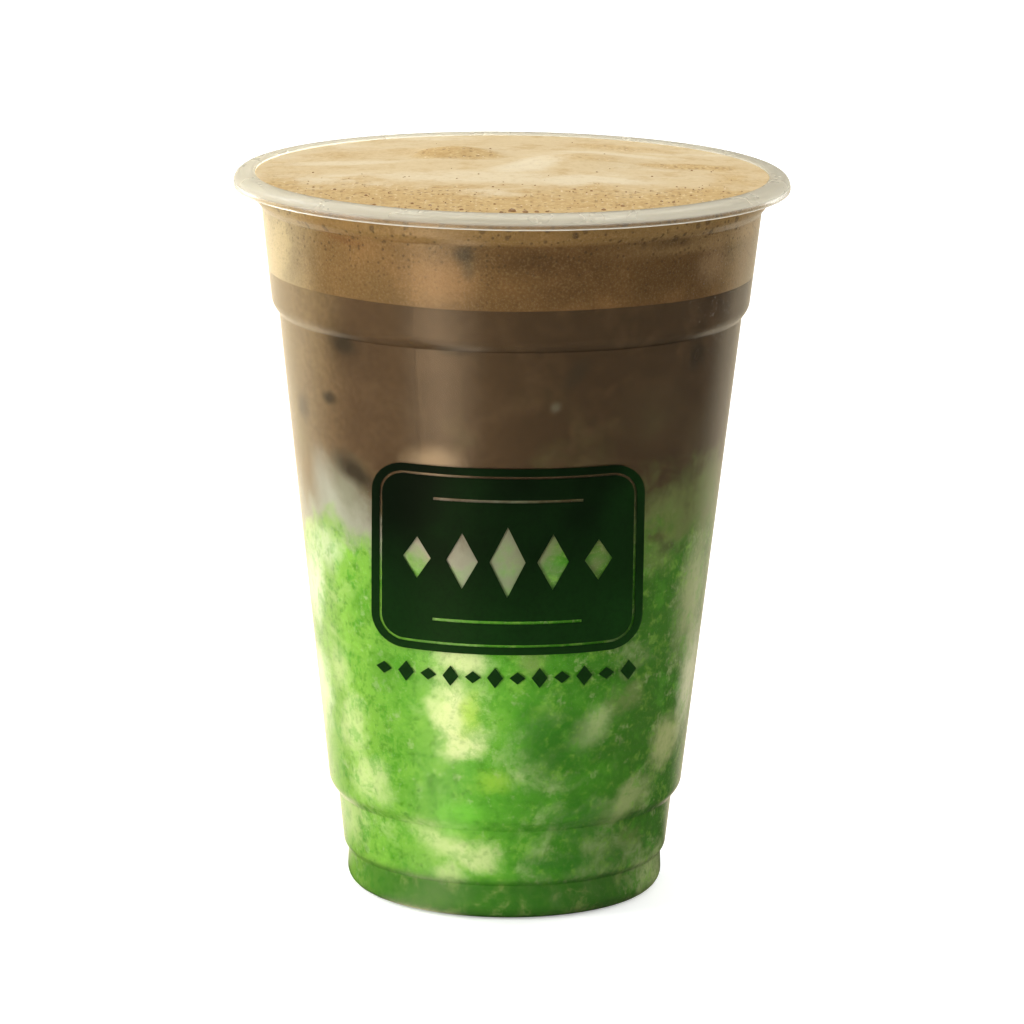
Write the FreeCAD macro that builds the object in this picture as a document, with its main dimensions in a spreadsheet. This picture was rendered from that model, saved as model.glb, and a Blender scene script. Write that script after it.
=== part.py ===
"""Layered iced latte in a clear thermoformed cup: cup, green milk, tea latte and milk foam.

The cup is one thin wall turned about Z: a foot with a recessed base, three stacking ledges,
a lid-seat ledge under the mouth and a rolled-over rim with a hanging skirt. The drink is three
layers that fill the cup against its inner wall and meet each other on gently waved surfaces.
Origin at the middle of the foot's underside, +Z up, millimetres. The front of the cup faces -Y.
"""
import math
import os

import FreeCAD, Part
import Sketcher

DRIVING_SIZES = {
    # overall
    "cup_height": 125.0,
    "mouth_radius": 44.3,  # outside of the wall at the top
    "wall": 0.5,
    "draft_angle": 6.28,  # degrees from the vertical, the same on every wall band
    # ledges: each slants in by its inset at ledge_angle from the vertical
    "ledge_angle": 38.0,
    "lid_seat_depth": 6.0,  # below the rim's top, to the ledge's lower corner
    "lid_seat_inset": 1.1,
    "shoulder_depth": 24.1,
    "shoulder_inset": 1.2,
    "lower_ledge_height": 16.3,  # above the table
    "lower_ledge_inset": 1.55,
    "waist_height": 6.2,
    "waist_inset": 0.8,
    "ledge_round": 3.0,  # convex side of the shoulder and the lower ledge
    "small_ledge_round": 1.6,  # convex side of the lid seat and the waist
    "ledge_corner": 0.7,  # concave side of every ledge
    # foot and recessed base
    "foot_flare": 0.2,
    "foot_ring_width": 4.6,
    "base_recess": 3.2,
    "base_recess_angle": 62.0,  # slope of the recess wall, from the horizontal
    "heel_round": 2.6,
    "recess_round": 0.9,
    # rim
    "rim_width": 3.2,  # outward from the mouth
    "rim_wall": 0.8,
    "rim_skirt_depth": 2.5,
    "rim_outer_round": 1.9,
    "rim_inner_round": 1.1,
    "skirt_edge_round": 0.3,
    # drink: levels at the wall, above the table or below the rim
    "green_level": 64.5,
    "green_wave": 2.4,
    "foam_thickness": 16.4,
    "foam_wave": 0.35,
    "brim_gap": 0.4,  # foam's edge below the rim's top
    "foam_crown": 0.9,
    "foam_mound": 1.1,  # height of the mounds that hidden ice lifts
    "foam_mound_spread": 7.5,
}

# Where the two mounds stand, as shares of the mouth's radius, and how tall each is beside foam_mound.
MOUNDS = ((-0.23, 0.42, 1.0), (0.25, 0.28, 0.7))
# Lobes of each waved level: (turns round the axis, share of the wave, phase in degrees).
GREEN_LOBES = ((2, 0.55, 20.0), (3, 0.35, 105.0), (5, 0.25, 250.0))
FOAM_LOBES = ((2, 0.7, 75.0), (5, 0.45, 10.0))
LEVEL_GRID = 13  # points each way that a waved level is drawn through

doc = FreeCAD.newDocument("layered_latte")


# ---------------------------------------------------------------- sizes
def make_size_sheet():
    sheet = doc.addObject("Spreadsheet::Sheet", "Sizes")
    for row, (name, value) in enumerate(DRIVING_SIZES.items(), start=1):
        sheet.set(f"A{row}", name)
        sheet.set(f"B{row}", str(value))
        sheet.setAlias(f"B{row}", name)
    doc.recompute()
    return sheet


sizes = make_size_sheet()


def size(name):
    return float(sizes.get(name))


# ---------------------------------------------------------------- sketch helpers
def origin_plane(body, role):
    return next(f for f in body.Origin.OriginFeatures if f.Role == role)


def sketch_on(body, name, role="XZ_Plane"):
    sketch = body.newObject("Sketcher::SketchObject", name)
    sketch.AttachmentSupport = [(origin_plane(body, role), "")]
    sketch.MapMode = "FlatFace"
    return sketch


def closed_polygon(sketch, points):
    """Line i runs from point i to the next one; the last line closes the outline."""
    count = len(points)
    vectors = [FreeCAD.Vector(x, y, 0) for x, y in points]
    for i in range(count):
        sketch.addGeometry(Part.LineSegment(vectors[i], vectors[(i + 1) % count]))
    for i in range(count):
        sketch.addConstraint(Sketcher.Constraint("Coincident", i, 2, (i + 1) % count, 1))


def bind(sketch, name, constraint, expression):
    """Adds a named dimension and binds it to the size sheet."""
    index = sketch.addConstraint(constraint)
    sketch.renameConstraint(index, name)
    sketch.setExpression(f".Constraints.{name}", expression)


def place_point(sketch, name, point, direction, value, expression):
    """Dimension of a line's first point from the origin, along x or y."""
    bind(sketch, name, Sketcher.Constraint(f"Distance{direction}", -1, 1, point, 1, value), expression)


def slope(sketch, name, line, degrees, expression):
    """Angle of a line above the horizontal."""
    bind(sketch, name, Sketcher.Constraint("Angle", line, math.radians(degrees)), expression)


def circles_at(shape, places):
    """Names of the whole circular edges about Z that lie at the given (radius, height) places."""
    found = []
    for index, edge in enumerate(shape.Edges, start=1):
        curve = edge.Curve
        if not isinstance(curve, Part.Circle):
            continue
        for radius, height in places:
            if abs(curve.Radius - radius) < 1e-3 and abs(curve.Center.z - height) < 1e-3:
                found.append(f"Edge{index}")
    if len(found) != len(places):
        raise RuntimeError(f"found {len(found)} of {len(places)} edges to round")
    return found


def round_edges(body, name, base, places, radius_name):
    fillet = body.newObject("PartDesign::Fillet", name)
    fillet.Base = (base, circles_at(base.Shape, places))
    fillet.setExpression("Radius", f"Sizes.{radius_name}")
    doc.recompute()
    return fillet


def revolve(body, name, sketch):
    turned = body.newObject("PartDesign::Revolution", name)
    turned.Profile = sketch
    turned.ReferenceAxis = (sketch, ["V_Axis"])
    turned.Angle = 360.0
    doc.recompute()
    return turned


# ---------------------------------------------------------------- cup wall
def wall_outline():
    """Corners of the cup's outer half section, from the base's middle out and up to the mouth."""
    run_in = math.tan(math.radians(size("draft_angle")))
    lean = math.tan(math.radians(size("ledge_angle")))
    height = size("cup_height")

    def ledge(upper_radius, upper_height, corner_height, inset):
        """Top and bottom corners of the ledge that ends a wall band coming down from above."""
        top_height = corner_height + inset / lean
        top_radius = upper_radius - run_in * (upper_height - top_height)
        return (top_radius, top_height), (top_radius - inset, corner_height)

    mouth = (size("mouth_radius"), height)
    seat_top, seat = ledge(*mouth, height - size("lid_seat_depth"), size("lid_seat_inset"))
    shoulder_top, shoulder = ledge(*seat, height - size("shoulder_depth"), size("shoulder_inset"))
    lower_top, lower = ledge(*shoulder, size("lower_ledge_height"), size("lower_ledge_inset"))
    waist_top, waist = ledge(*lower, size("waist_height"), size("waist_inset"))
    heel = (waist[0] + size("foot_flare"), 0.0)
    foot_inner = (heel[0] - size("foot_ring_width"), 0.0)
    recess_run = size("base_recess") / math.tan(math.radians(size("base_recess_angle")))
    recess = (foot_inner[0] - recess_run, size("base_recess"))
    return {
        "base_middle": (0.0, size("base_recess")),
        "recess": recess,
        "foot_inner": foot_inner,
        "heel": heel,
        "waist": waist,
        "waist_top": waist_top,
        "lower": lower,
        "lower_top": lower_top,
        "shoulder": shoulder,
        "shoulder_top": shoulder_top,
        "seat": seat,
        "seat_top": seat_top,
        "mouth": mouth,
        "mouth_middle": (0.0, height),
    }


def draw_wall_outline(sketch, corners):
    names = list(corners)
    closed_polygon(sketch, corners.values())
    at = {name: index for index, name in enumerate(names)}  # also the line that starts there
    level = Sketcher.Constraint
    for name in ("base_middle", "foot_inner", "mouth"):
        sketch.addConstraint(level("Horizontal", at[name]))
    for name in ("base_middle", "mouth_middle"):
        sketch.addConstraint(level("PointOnObject", at[name], 1, -2))
    sketch.addConstraint(level("PointOnObject", at["foot_inner"], 1, -1))

    height = size("cup_height")
    heights = {
        "mouth_middle": ("cup_height", height, "Sizes.cup_height"),
        "base_middle": ("base_recess", size("base_recess"), "Sizes.base_recess"),
        "waist": ("waist_height", size("waist_height"), "Sizes.waist_height"),
        "lower": ("lower_ledge_height", size("lower_ledge_height"), "Sizes.lower_ledge_height"),
        "shoulder": (
            "shoulder_height",
            height - size("shoulder_depth"),
            "Sizes.cup_height - Sizes.shoulder_depth",
        ),
        "seat": (
            "lid_seat_height",
            height - size("lid_seat_depth"),
            "Sizes.cup_height - Sizes.lid_seat_depth",
        ),
    }
    for corner, (name, value, expression) in heights.items():
        place_point(sketch, name, at[corner], "Y", value, expression)
    place_point(sketch, "mouth_radius", at["mouth"], "X", size("mouth_radius"), "Sizes.mouth_radius")

    for corner, name in (
        ("waist", "waist_inset"),
        ("lower", "lower_ledge_inset"),
        ("shoulder", "shoulder_inset"),
        ("seat", "lid_seat_inset"),
    ):
        line = at[corner]
        bind(sketch, name, level("DistanceX", line, 1, line, 2, size(name)), f"Sizes.{name}")
        slope(
            sketch,
            f"{corner}_slope",
            line,
            90 - size("ledge_angle"),
            "90 deg - Sizes.ledge_angle * 1 deg",
        )
    for corner in ("waist_top", "lower_top", "shoulder_top", "seat_top"):
        slope(
            sketch,
            f"{corner}_draft",
            at[corner],
            90 - size("draft_angle"),
            "90 deg - Sizes.draft_angle * 1 deg",
        )
    heel = at["heel"]
    flare = level("DistanceX", heel, 2, heel, 1, size("foot_flare"))
    bind(sketch, "foot_flare", flare, "Sizes.foot_flare")
    ring = at["foot_inner"]
    width = level("DistanceX", ring, 1, ring, 2, size("foot_ring_width"))
    bind(sketch, "foot_ring_width", width, "Sizes.foot_ring_width")
    slope(
        sketch,
        "recess_slope",
        at["recess"],
        -size("base_recess_angle"),
        "-Sizes.base_recess_angle * 1 deg",
    )


def round_ledges(body, blank, corners):
    """Every corner that the sheet is drawn over is rounded before the wall gets its thickness."""
    steps = (
        ("ledge_rounds", ("shoulder_top", "lower_top"), "ledge_round"),
        ("small_ledge_rounds", ("seat_top", "waist_top"), "small_ledge_round"),
        ("ledge_corners", ("seat", "shoulder", "lower", "waist"), "ledge_corner"),
        ("heel_round", ("heel",), "heel_round"),
        ("recess_rounds", ("recess", "foot_inner"), "recess_round"),
    )
    shape = blank
    for name, at, radius_name in steps:
        shape = round_edges(body, name, shape, [corners[c] for c in at], radius_name)
    return shape


def hollow(body, blank):
    """Leaves a wall of even thickness, open at the mouth."""
    top = max(range(len(blank.Shape.Faces)), key=lambda i: blank.Shape.Faces[i].CenterOfMass.z)
    shell = body.newObject("PartDesign::Thickness", "thin_wall")
    shell.Base = (blank, [f"Face{top + 1}"])
    shell.Reversed = True
    shell.Mode = 0  # Skin
    shell.Join = 0  # Arc
    shell.setExpression("Value", "Sizes.wall")
    doc.recompute()
    return shell


# ---------------------------------------------------------------- rim
def rim_outline():
    """Corners of the rim's half section: a web over the mouth's edge and a skirt hanging from it."""
    top = size("cup_height")
    inner = size("mouth_radius") - size("wall") / 2
    outer = size("mouth_radius") + size("rim_width")
    under = top - size("rim_wall")
    hem = top - size("rim_skirt_depth")
    return {
        "web_inner_low": (inner, under),
        "web_inner": (inner, top),
        "web_outer": (outer, top),
        "skirt_outer": (outer, hem),
        "skirt_inner": (outer - size("rim_wall"), hem),
        "web_corner": (outer - size("rim_wall"), under),
    }


def draw_rim_outline(sketch, corners):
    closed_polygon(sketch, corners.values())
    at = {name: index for index, name in enumerate(corners)}
    for name in ("web_inner", "skirt_outer", "web_corner"):
        sketch.addConstraint(Sketcher.Constraint("Horizontal", at[name]))
    for name in ("web_inner_low", "web_outer", "skirt_inner"):
        sketch.addConstraint(Sketcher.Constraint("Vertical", at[name]))
    dimensions = (
        ("web_inside", "web_inner", "X", "Sizes.mouth_radius - Sizes.wall / 2"),
        ("rim_radius", "web_outer", "X", "Sizes.mouth_radius + Sizes.rim_width"),
        ("rim_top", "web_outer", "Y", "Sizes.cup_height"),
        ("skirt_hem", "skirt_outer", "Y", "Sizes.cup_height - Sizes.rim_skirt_depth"),
        (
            "skirt_inside",
            "web_corner",
            "X",
            "Sizes.mouth_radius + Sizes.rim_width - Sizes.rim_wall",
        ),
        ("web_underside", "web_corner", "Y", "Sizes.cup_height - Sizes.rim_wall"),
    )
    for name, corner, direction, expression in dimensions:
        value = corners[corner][0 if direction == "X" else 1]
        place_point(sketch, name, at[corner], direction, value, expression)


def mouth_inner_radius():
    """The wall is as thick square to its slope, so a little thicker across the level mouth."""
    return size("mouth_radius") - size("wall") / math.cos(math.radians(size("draft_angle")))


def round_rim(body, rim, corners):
    inner = (mouth_inner_radius(), size("cup_height"))
    outer = corners["web_outer"]
    shape = round_edges(body, "rim_outer_round", rim, [outer], "rim_outer_round")
    shape = round_edges(body, "rim_inner_round", shape, [inner], "rim_inner_round")
    hem = [corners["skirt_outer"], corners["skirt_inner"]]
    shape = round_edges(body, "skirt_edge_rounds", shape, hem, "skirt_edge_round")
    # The web's underside follows its top, so that the rim keeps its thickness round the bend.
    under = body.newObject("PartDesign::Fillet", "rim_under_round")
    under.Base = (shape, circles_at(shape.Shape, [corners["web_corner"]]))
    under.setExpression("Radius", "Sizes.rim_outer_round - Sizes.rim_wall")
    doc.recompute()
    return under


def make_cup():
    body = doc.addObject("PartDesign::Body", "cup")
    body.Label = "cup"
    corners = wall_outline()
    outline = sketch_on(body, "wall_outline")
    draw_wall_outline(outline, corners)
    doc.recompute()
    blank = round_ledges(body, revolve(body, "cup_blank", outline), corners)
    hollow(body, blank)
    rim_corners = rim_outline()
    rim_sketch = sketch_on(body, "rim_outline")
    draw_rim_outline(rim_sketch, rim_corners)
    doc.recompute()
    round_rim(body, revolve(body, "rim", rim_sketch), rim_corners)
    return body, blank


# ---------------------------------------------------------------- drink
def cavity_shape(blank, cup):
    """The room inside the cup up to its mouth, with headroom above for foam that stands proud."""
    room = max(blank.Shape.cut(cup.Shape).Solids, key=lambda solid: solid.Volume)
    mouth = FreeCAD.Vector(0, 0, size("cup_height"))
    headroom = Part.makeCylinder(size("mouth_radius"), size("rim_skirt_depth"), mouth)
    return room.fuse(headroom).removeSplitter()


def lobed(radius, angle, lobes, wave):
    """Height of a level that swells in lobes round the wall and lies flat at the middle."""
    reach = (radius / size("mouth_radius")) ** 2
    total = sum(share * math.cos(turns * angle + math.radians(phase)) for turns, share, phase in lobes)
    return wave * reach * total


def foam_top(x, y):
    """Crown of the foam, with a low mound over each piece of ice that pushes it up."""
    mouth = size("mouth_radius")
    edge = size("cup_height") - size("brim_gap")
    crown = size("foam_crown") * (1 - (x * x + y * y) / mouth**2)
    spread = size("foam_mound_spread")
    mounds = 0.0
    for across, back, tall in MOUNDS:
        away = math.hypot(x - across * mouth, y - back * mouth)
        mounds += size("foam_mound") * tall * math.exp(-((away / spread) ** 2))
    return edge + crown + mounds


def tea_top(x, y):
    level = size("cup_height") - size("brim_gap") - size("foam_thickness")
    return level + lobed(math.hypot(x, y), math.atan2(y, x), FOAM_LOBES, size("foam_wave"))


def green_top(x, y):
    level = size("green_level")
    return level + lobed(math.hypot(x, y), math.atan2(y, x), GREEN_LOBES, size("green_wave"))


def level_face(name, height_at):
    """A smooth face through heights worked out on a square grid wider than the cup."""
    half = size("mouth_radius") * 1.1
    step = 2 * half / (LEVEL_GRID - 1)
    grid = []
    for i in range(LEVEL_GRID):
        x = -half + i * step
        row = []
        for j in range(LEVEL_GRID):
            y = -half + j * step
            row.append(FreeCAD.Vector(x, y, height_at(x, y)))
        grid.append(row)
    surface = Part.BSplineSurface()
    surface.interpolate(grid)
    feature = doc.addObject("Part::Feature", name)
    feature.Shape = surface.toShape()
    return feature


def below(level, name):
    """Everything under a level, down past the table."""
    solid = doc.addObject("Part::Extrusion", name)
    solid.Base = level
    solid.DirMode = "Custom"
    solid.Dir = FreeCAD.Vector(0, 0, -1)
    solid.Solid = True
    solid.setExpression("LengthFwd", "Sizes.cup_height * 1.5")
    return solid


def common(name, base, tool):
    part = doc.addObject("Part::Common", name)
    part.Base = base
    part.Tool = tool
    return part


def cut(name, base, tool):
    part = doc.addObject("Part::Cut", name)
    part.Base = base
    part.Tool = tool
    return part


def make_drink(blank, cup):
    cavity = doc.addObject("Part::Feature", "cavity")
    cavity.Shape = cavity_shape(blank, cup)
    under_foam_top = below(level_face("foam_top_level", foam_top), "under_foam_top")
    under_tea_top = below(level_face("tea_top_level", tea_top), "under_tea_top")
    under_green_top = below(level_face("green_top_level", green_top), "under_green_top")
    filled = common("filled", cavity, under_foam_top)
    foam = cut("foam", filled, under_tea_top)
    below_foam = common("below_foam", filled, under_tea_top)
    tea = cut("tea_latte", below_foam, under_green_top)
    green = common("green_milk", below_foam, under_green_top)
    doc.recompute()
    return [foam, tea, green]


# ---------------------------------------------------------------- output
def check(parts):
    for item in doc.Objects:
        if "Invalid" in item.State or "Error" in item.State:
            raise RuntimeError(f"{item.Name} failed: {item.State}")
    for part in parts:
        shape = part.Shape
        if shape.isNull() or not shape.isValid() or len(shape.Solids) != 1:
            raise RuntimeError(f"{part.Label} isn't one valid solid")


def export(parts):
    os.makedirs("parts", exist_ok=True)
    for part in parts:
        part.Shape.exportStep(f"parts/{part.Label}.step")
        box = part.Shape.BoundBox
        print(
            f"{part.Label}: {part.Shape.Volume / 1000:.1f} ml,",
            f"z {box.ZMin:.2f} to {box.ZMax:.2f}, radius {box.XMax:.2f}",
        )


cup, cup_blank = make_cup()
all_parts = [cup, *make_drink(cup_blank, cup)]
check(all_parts)
export(all_parts)
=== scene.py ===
# %% [markdown]
# # An iced latte in a clear takeaway cup
#
# The cup is one thin sheet of clear plastic, drawn over a mould, with ledges for stacking and a
# rolled rim. Green milk, roasted tea with milk and a thick milk foam fill it to the brim. The
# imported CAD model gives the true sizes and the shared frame. This script turns its own smooth
# pieces on the same sizes, because a lathe gives even faces that bend light cleanly, and then
# gives every surface its finish.

import math
import random

import bmesh
import bpy
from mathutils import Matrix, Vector


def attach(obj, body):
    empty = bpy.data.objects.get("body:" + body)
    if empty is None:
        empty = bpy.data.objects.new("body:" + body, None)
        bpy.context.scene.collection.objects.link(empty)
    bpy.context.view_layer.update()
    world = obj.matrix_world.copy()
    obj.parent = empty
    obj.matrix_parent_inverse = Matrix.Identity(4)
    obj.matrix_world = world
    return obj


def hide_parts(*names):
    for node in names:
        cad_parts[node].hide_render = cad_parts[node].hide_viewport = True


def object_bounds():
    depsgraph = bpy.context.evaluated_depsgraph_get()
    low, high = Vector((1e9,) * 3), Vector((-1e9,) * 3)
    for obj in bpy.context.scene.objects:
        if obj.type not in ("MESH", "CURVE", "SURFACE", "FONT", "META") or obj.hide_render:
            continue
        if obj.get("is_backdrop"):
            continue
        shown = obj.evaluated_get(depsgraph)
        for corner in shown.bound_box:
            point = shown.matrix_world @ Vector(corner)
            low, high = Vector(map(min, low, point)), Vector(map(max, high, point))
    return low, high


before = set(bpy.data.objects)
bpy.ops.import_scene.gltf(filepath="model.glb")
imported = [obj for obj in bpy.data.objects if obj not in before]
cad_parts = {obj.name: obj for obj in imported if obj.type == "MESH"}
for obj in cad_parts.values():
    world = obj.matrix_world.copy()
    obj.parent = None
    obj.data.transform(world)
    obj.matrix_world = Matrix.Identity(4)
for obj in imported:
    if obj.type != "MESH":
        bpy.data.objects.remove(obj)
cad_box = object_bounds()
random.seed(7)
print("nodes:", sorted(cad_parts), "box:", cad_box)

# %% [markdown]
# ## Sizes
#
# All sizes are in millimetres and are turned into metres only when a point is placed. The cup's
# wall leans out by the same draft everywhere, so that cups release from the mould, and steps in
# at four ledges. A list of ledges and one loop draw the whole wall.

# %% Sizes of the cup
MM = 0.001
CUP_HEIGHT = 125.0
MOUTH_RADIUS = 44.3
WALL = 0.5
DRAFT = math.tan(math.radians(6.28))
LEDGE_LEAN = math.tan(math.radians(38.0))
# Height of each ledge's lower corner, how far it steps in, and the rounding of its upper corner.
LEDGES = ((119.0, 1.1, 1.6), (100.9, 1.2, 3.0), (16.3, 1.55, 3.0), (6.2, 0.8, 1.6))
LEDGE_CORNER = 0.7
FOOT_FLARE = 0.2
FOOT_RING = 4.6
BASE_RECESS = 3.2
RECESS_RUN = BASE_RECESS / math.tan(math.radians(62.0))
RIM_WIDTH = 3.2
RIM_WALL = 0.8
SKIRT_DEPTH = 2.5
TURNS = 240  # steps of every lathe turn


def outer_corners():
    """(radius, height, rounding) of the wall's outside, from the base's middle to the neck."""
    radius, height = MOUTH_RADIUS, CUP_HEIGHT
    down = []
    for corner_height, inset, rounding in LEDGES:
        top = corner_height + inset / LEDGE_LEAN
        radius -= DRAFT * (height - top)
        down.append((radius, top, rounding))
        radius, height = radius - inset, corner_height
        down.append((radius, height, LEDGE_CORNER))
    heel = radius + FOOT_FLARE
    ring = heel - FOOT_RING
    foot = [(0, BASE_RECESS, 0), (ring - RECESS_RUN, BASE_RECESS, 0.9), (ring, 0, 0.9), (heel, 0, 2.6)]
    return foot + down[::-1]


for corner in outer_corners():
    print("corner: radius %.2f, height %.2f, rounding %.1f" % corner)

# %% [markdown]
# ## A lathe in four moves
#
# A round piece starts as one point. Extruding the point from corner to corner draws half of the
# piece's section, a vertex bevel rounds each corner, and a spin about the upright axis makes the
# skin. Merging closes the seam and the poles. Working from a section keeps each rounding exact,
# where pushing a cylinder about would not.


# %% Choosing what an operator acts on
SAME_SPOT = 0.02  # mm


def rest():
    """Back to object mode with nothing selected."""
    if bpy.context.mode != "OBJECT":
        bpy.ops.object.mode_set(mode="OBJECT")
    bpy.ops.object.select_all(action="DESELECT")


def take(piece):
    """Makes one piece the active and only selected one."""
    rest()
    bpy.context.view_layer.objects.active = piece
    piece.select_set(True)


def choose(piece, test, kind="verts"):
    """Selects the vertices or faces that pass a test, in edit mode, and says how many there are."""
    grid = bmesh.from_edit_mesh(piece.data)
    for every in (grid.verts, grid.edges, grid.faces):
        for item in every:
            item.select = False
    count = 0
    for item in getattr(grid, kind):
        if test(item):
            item.select_set(True)
            count += 1
    bmesh.update_edit_mesh(piece.data)
    return count


def near(radius, height):
    """A test for vertices of an outline that lie at one corner."""
    spot = Vector((radius, 0, height)) * MM
    return lambda vert: (vert.co - spot).length < SAME_SPOT * MM


# %% Drawing and spinning an outline
LEAST_ROUNDING = 0.01  # mm along the section, below which a corner is left sharp


def draw_outline(name, corners):
    """Extrudes a point from corner to corner, then rounds the corners that have a rounding."""
    rest()
    bpy.ops.mesh.primitive_plane_add(size=MM, location=(0, 0, 0))
    piece = bpy.context.object
    piece.name = name
    bpy.ops.object.mode_set(mode="EDIT")
    bpy.ops.mesh.select_mode(type="VERT")
    bpy.ops.mesh.merge(type="CENTER")
    spots = [Vector((radius, 0, height)) * MM for radius, height, _ in corners]
    bpy.ops.transform.translate(value=spots[0])
    for before, after in zip(spots, spots[1:]):
        bpy.ops.mesh.extrude_region_move(TRANSFORM_OT_translate={"value": after - before})
    for i in range(1, len(corners) - 1):
        radius, height, rounding = corners[i]
        turn = (spots[i] - spots[i - 1]).angle(spots[i + 1] - spots[i])
        reach = rounding * MM * math.tan(turn / 2)
        if reach > LEAST_ROUNDING * MM:
            choose(piece, near(radius, height))
            bpy.ops.mesh.bevel(offset=reach, segments=7, affect="VERTICES", clamp_overlap=False)
    return piece


def spin_outline(piece, open_sheet=False):
    """Turns the outline once about the upright axis and closes the skin. An open sheet that hooks
    outward at its edge is judged by that edge, so its normals are asked for the other way."""
    bpy.ops.mesh.select_mode(type="VERT")
    bpy.ops.mesh.select_all(action="SELECT")
    bpy.ops.mesh.spin(steps=TURNS, angle=math.tau, center=(0, 0, 0), axis=(0, 0, 1))
    bpy.ops.mesh.select_all(action="SELECT")
    bpy.ops.mesh.remove_doubles(threshold=1e-6)
    bpy.ops.mesh.normals_make_consistent(inside=open_sheet)
    rest()
    return piece


# %% Modifiers and smooth shading
def apply_modifier(piece, kind, **settings):
    """Adds one modifier with these settings and applies it."""
    take(piece)
    step = piece.modifiers.new(kind.lower(), kind)
    for key, value in settings.items():
        setattr(step, key, value)
    bpy.ops.object.modifier_apply(modifier=step.name)


def smooth(piece, degrees=40):
    take(piece)
    bpy.ops.object.shade_smooth_by_angle(angle=math.radians(degrees))
    print(f"{piece.name}: {len(piece.data.vertices)} points, {len(piece.data.polygons)} faces")


# %% [markdown]
# ## The cup
#
# A takeaway cup is one sheet of polypropylene of even thickness. So the piece is first drawn as
# the sheet's outer face, which runs up the wall, out under the rim and down inside its skirt, and
# then a Solidify modifier gives it thickness on the inner side. A vertex group makes the rim
# thicker than the wall. Solid walls matter here: light has to go into and out of the plastic.


# %% The cup's sheet
def cup_sheet():
    under_rim = CUP_HEIGHT - RIM_WALL
    skirt = MOUTH_RADIUS + RIM_WIDTH - RIM_WALL
    lip = MOUTH_RADIUS - DRAFT * RIM_WALL
    rim = [(lip, under_rim, 0.4), (skirt, under_rim, 1.1), (skirt, CUP_HEIGHT - SKIRT_DEPTH, 0)]
    piece = draw_outline("clear_cup", outer_corners() + rim)
    spin_outline(piece, open_sheet=True)
    thick = piece.vertex_groups.new(name="rim")
    for vert in piece.data.vertices:
        out = math.hypot(vert.co.x, vert.co.y) / MM
        if vert.co.z / MM > CUP_HEIGHT - SKIRT_DEPTH - SAME_SPOT and out > MOUTH_RADIUS:
            thick.add([vert.index], 1.0, "REPLACE")
    apply_modifier(
        piece,
        "SOLIDIFY",
        thickness=RIM_WALL * MM,
        offset=-1.0,
        vertex_group="rim",
        thickness_vertex_group=WALL / RIM_WALL,
        use_even_offset=True,
    )
    return piece


# %% The hem, and the cup made
def round_hem(piece):
    """Softens the two edges of the skirt's cut hem, where the sheet catches a line of light."""
    take(piece)
    bpy.ops.object.mode_set(mode="EDIT")
    bpy.ops.mesh.select_mode(type="EDGE")
    hem = (CUP_HEIGHT - SKIRT_DEPTH) * MM
    found = choose(piece, lambda edge: edge_runs_round(edge, hem), "edges")
    bpy.ops.mesh.bevel(offset=0.25 * MM, segments=3, affect="EDGES")
    rest()
    print("hem edges:", found)


def edge_runs_round(edge, height):
    """Whether an edge is a piece of a level ring at this height."""
    level = all(abs(vert.co.z - height) < 2e-5 for vert in edge.verts)
    radii = [math.hypot(vert.co.x, vert.co.y) for vert in edge.verts]
    return level and abs(radii[0] - radii[1]) < 1e-5


cup = cup_sheet()
round_hem(cup)
smooth(cup)
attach(cup, "root")
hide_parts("cup")

# %% [markdown]
# ## The layers of the drink
#
# Each layer is turned like the cup, on the same corners moved in by a little less than the wall,
# so that it reaches just into the plastic and no ring of air shows. The levels between the layers
# aren't dead flat: a Displace modifier with a soft cloud texture sways them, and both neighbours
# of a level use the same texture, so they still meet.

# %% Sizes of the drink
INTO_WALL = 0.35  # in from the cup's outer face, so 0.15 deep in the wall
GREEN_LEVEL = 64.5
FOAM_LEVEL = 108.2
BRIM = 124.6
GREEN_SWAY = (2.4, 45)  # how far a level rises and falls, and over what length
FOAM_SWAY = (0.45, 38)


def inner_corners():
    """The outside corners moved to where the drink ends: base up, heel up and in, wall in."""
    moved = []
    for i, (radius, height, rounding) in enumerate(outer_corners()):
        out = 0 if i == 0 else WALL - INTO_WALL if i < 3 else -INTO_WALL
        up = INTO_WALL if i < 4 else 0
        moved.append((radius + out, height + up, max(rounding - INTO_WALL, 0.3) if i else 0))
    top = (MOUTH_RADIUS - INTO_WALL, CUP_HEIGHT, 0)
    return moved + [top]


def radius_at(height):
    """How far out the drink reaches at a height on the wall."""
    wall = inner_corners()[3:]
    for (r0, z0, _), (r1, z1, _) in zip(wall, wall[1:]):
        if z0 <= height <= z1:
            return r0 + (r1 - r0) * (height - z0) / (z1 - z0)
    raise ValueError(f"no wall at height {height}")


for level in (GREEN_LEVEL, FOAM_LEVEL, BRIM):
    print(f"level at {level} mm: the drink reaches {radius_at(level):.2f} mm out")


# %% A layer's section and its swaying levels
def layer_outline(low, high):
    """Half section of a layer, from the axis below to the axis above."""
    between = [c for c in inner_corners() if low < c[1] < high]
    bottom = [(0, low, 0), (radius_at(low), low, 0)] if low > 0 else []
    return bottom + between + [(radius_at(high), high, 0), (0, high, 0)]


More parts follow.
